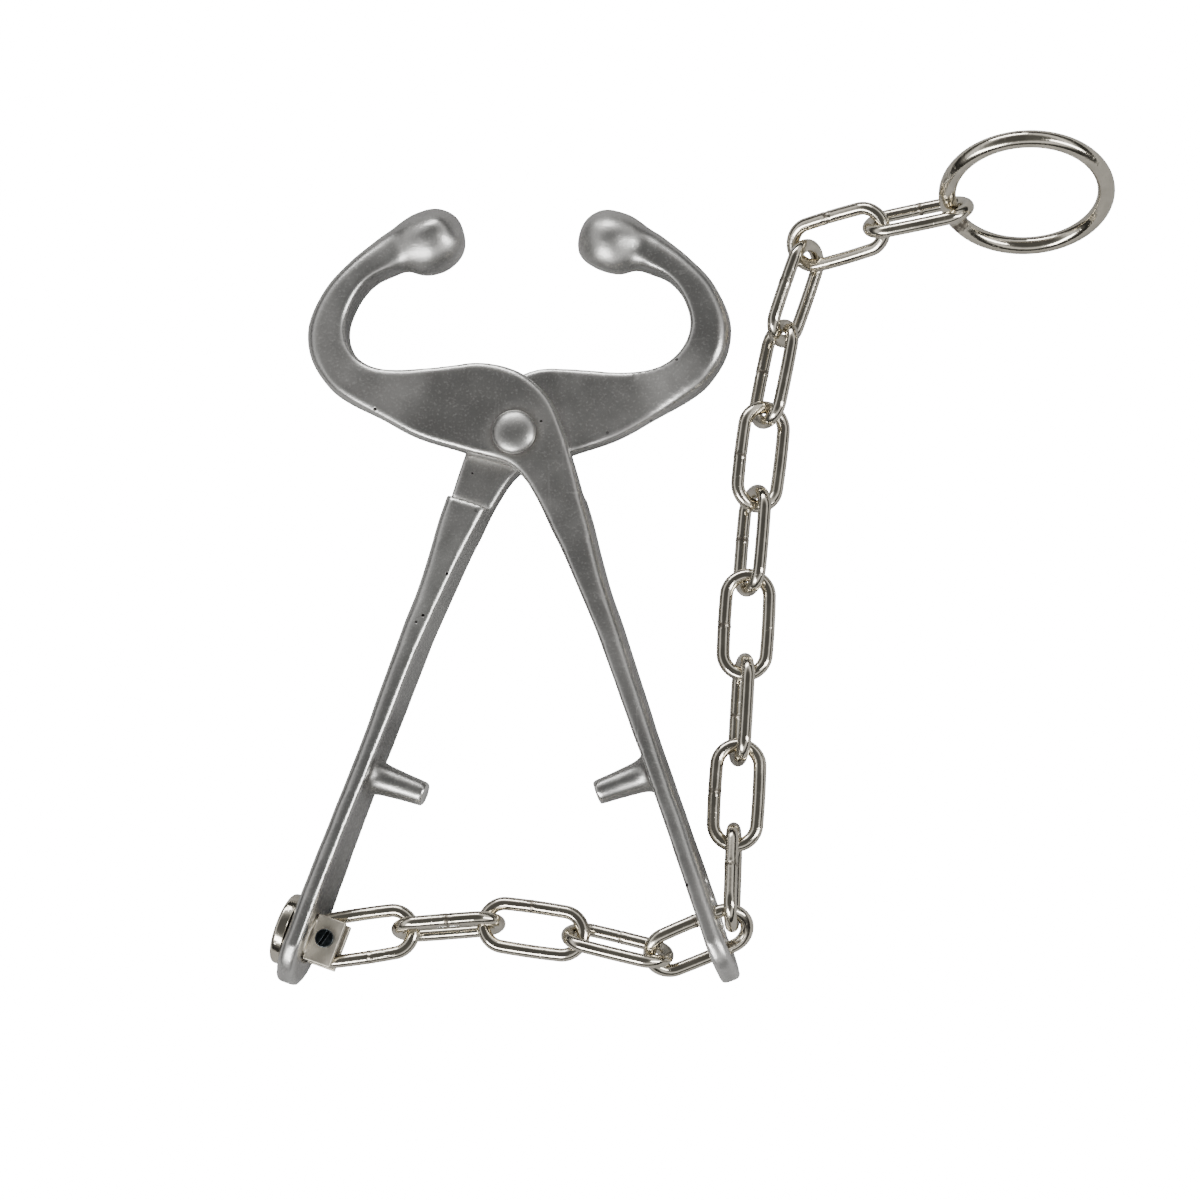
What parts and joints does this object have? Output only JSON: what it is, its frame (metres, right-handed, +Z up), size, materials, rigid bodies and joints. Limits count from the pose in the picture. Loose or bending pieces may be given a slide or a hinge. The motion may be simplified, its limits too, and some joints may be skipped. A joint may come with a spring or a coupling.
{
  "type": "cattle nose lead with chain",
  "caption": "Two crossed hooked levers with ball tips on a rivet, closed by a welded chain that runs through a keyhole in one handle and ends in a round ring.",
  "frame": {"origin": "middle of the outline of the whole object, on the surface it lies on", "axes": "+X across the handles towards the ring, +Y along the tongs towards the jaws, +Z up"},
  "size_m": [0.2199, 0.2174, 0.0419],
  "materials": {
    "cast": "satin polished casting, greyer in the hollows",
    "nickel": "bright nickel plating over welded wire",
    "blued": "dark blued steel"
  },
  "bodies": {
    "rear_lever": {"rear_lever": "cast", "pivot_rivet": "cast"},
    "front_lever": {"front_lever": "cast"},
    "swivel": {"swivel_button": "nickel", "swivel_clevis": "nickel", "clevis_screw": "blued"},
    "chain_link_01": {"chain_link_01": "nickel"},
    "chain_link_02": {"chain_link_02": "nickel"},
    "chain_link_03": {"chain_link_03": "nickel"},
    "chain_link_04": {"chain_link_04": "nickel"},
    "chain_link_05": {"chain_link_05": "nickel"},
    "chain_link_06": {"chain_link_06": "nickel"},
    "chain_link_07": {"chain_link_07": "nickel"},
    "chain_link_08": {"chain_link_08": "nickel"},
    "chain_link_09": {"chain_link_09": "nickel"},
    "chain_link_10": {"chain_link_10": "nickel"},
    "chain_link_11": {"chain_link_11": "nickel"},
    "chain_link_12": {"chain_link_12": "nickel"},
    "chain_link_13": {"chain_link_13": "nickel"},
    "chain_link_14": {"chain_link_14": "nickel"},
    "chain_link_15": {"chain_link_15": "nickel"},
    "lead_ring": {"lead_ring": "nickel"}
  },
  "joints": [
    {"name": "jaw_pivot", "type": "hinge", "parent": "rear_lever", "child": "front_lever", "pos_m": [-0.0476, 0.0365, 0.01125], "axis": [0, 0, 1], "range_deg": [-25, 0]},
    {"name": "swivel_turn", "type": "hinge", "parent": "rear_lever", "child": "swivel", "pos_m": [-0.1014, -0.0952, 0.01125], "axis": [0.9415, -0.3371, 0], "range_deg": [-4, 4]},
    {"name": "link_01_bend", "type": "hinge", "parent": "rear_lever", "child": "chain_link_01", "pos_m": [-0.09502, -0.09695, 0.01125], "axis": [0, 0, 1], "range_deg": [-46.25, 1]},
    {"name": "link_02_bend", "type": "hinge", "parent": "chain_link_01", "child": "chain_link_02", "pos_m": [-0.07656, -0.09422, 0.01125], "axis": [0, 0, 1], "range_deg": [-1, 50.75]},
    {"name": "link_03_bend", "type": "hinge", "parent": "chain_link_02", "child": "chain_link_03", "pos_m": [-0.05013, -0.09237, 0.01125], "axis": [0, 0, 1], "range_deg": [-15.5, 1]},
    {"name": "link_04_bend", "type": "hinge", "parent": "chain_link_03", "child": "chain_link_04", "pos_m": [-0.03181, -0.09535, 0.01125], "axis": [0, 0, 1], "range_deg": [-1, 40]},
    {"name": "link_05_bend", "type": "hinge", "parent": "chain_link_04", "child": "chain_link_05", "pos_m": [-0.0061, -0.10176, 0.01125], "axis": [0, 0, 1], "range_deg": [-36.25, 1]},
    {"name": "link_06_bend", "type": "hinge", "parent": "chain_link_05", "child": "chain_link_06", "pos_m": [0.01108, -0.09369, 0.0149], "axis": [0, 0, 1], "range_deg": [-5, 0]},
    {"name": "link_07_bend", "type": "hinge", "parent": "chain_link_06", "child": "chain_link_07", "pos_m": [0.01064, -0.06822, 0.0076], "axis": [0, 0, -1], "range_deg": [0, 20]},
    {"name": "link_08_bend", "type": "hinge", "parent": "chain_link_07", "child": "chain_link_08", "pos_m": [0.01157, -0.04966, 0.00815], "axis": [0, 0, 1], "range_deg": [-20, 0]},
    {"name": "link_09_bend", "type": "hinge", "parent": "chain_link_08", "child": "chain_link_09", "pos_m": [0.01272, -0.02319, 0.00815], "axis": [0, 0, -1], "range_deg": [0, 20]},
    {"name": "link_10_bend", "type": "hinge", "parent": "chain_link_09", "child": "chain_link_10", "pos_m": [0.01348, -0.0047, 0.00815], "axis": [0, 0, 1], "range_deg": [-20, 0]},
    {"name": "link_11_bend", "type": "hinge", "parent": "chain_link_10", "child": "chain_link_11", "pos_m": [0.01532, 0.02173, 0.00815], "axis": [0, 0, -1], "range_deg": [0, 20]},
    {"name": "link_12_bend", "type": "hinge", "parent": "chain_link_11", "child": "chain_link_12", "pos_m": [0.01717, 0.04015, 0.00815], "axis": [0, 0, 1], "range_deg": [-20, 0]},
    {"name": "link_13_bend", "type": "hinge", "parent": "chain_link_12", "child": "chain_link_13", "pos_m": [0.02102, 0.06234, 0.00815], "axis": [0, 0, -1], "range_deg": [-12, 14]},
    {"name": "link_14_bend", "type": "hinge", "parent": "chain_link_13", "child": "chain_link_14", "pos_m": [0.02921, 0.08754, 0.00815], "axis": [0, 0, 1], "range_deg": [-12, 12]},
    {"name": "link_15_bend", "type": "hinge", "parent": "chain_link_14", "child": "chain_link_15", "pos_m": [0.04528, 0.0902, 0.0162], "axis": [0, 0, -1], "range_deg": [-12, 12]},
    {"name": "ring_swing", "type": "hinge", "parent": "chain_link_15", "child": "lead_ring", "pos_m": [0.06687, 0.09381, 0.01774], "axis": [0.9962, 0.0872, 0], "range_deg": [-60, 0]}
  ],
  "couplings": [
    {"joint": "link_01_bend", "follows": "jaw_pivot", "ratio": 1.81},
    {"joint": "link_02_bend", "follows": "jaw_pivot", "ratio": -1.99},
    {"joint": "link_03_bend", "follows": "jaw_pivot", "ratio": 0.58},
    {"joint": "link_04_bend", "follows": "jaw_pivot", "ratio": -1.56},
    {"joint": "link_05_bend", "follows": "jaw_pivot", "ratio": 1.41}
  ]
}
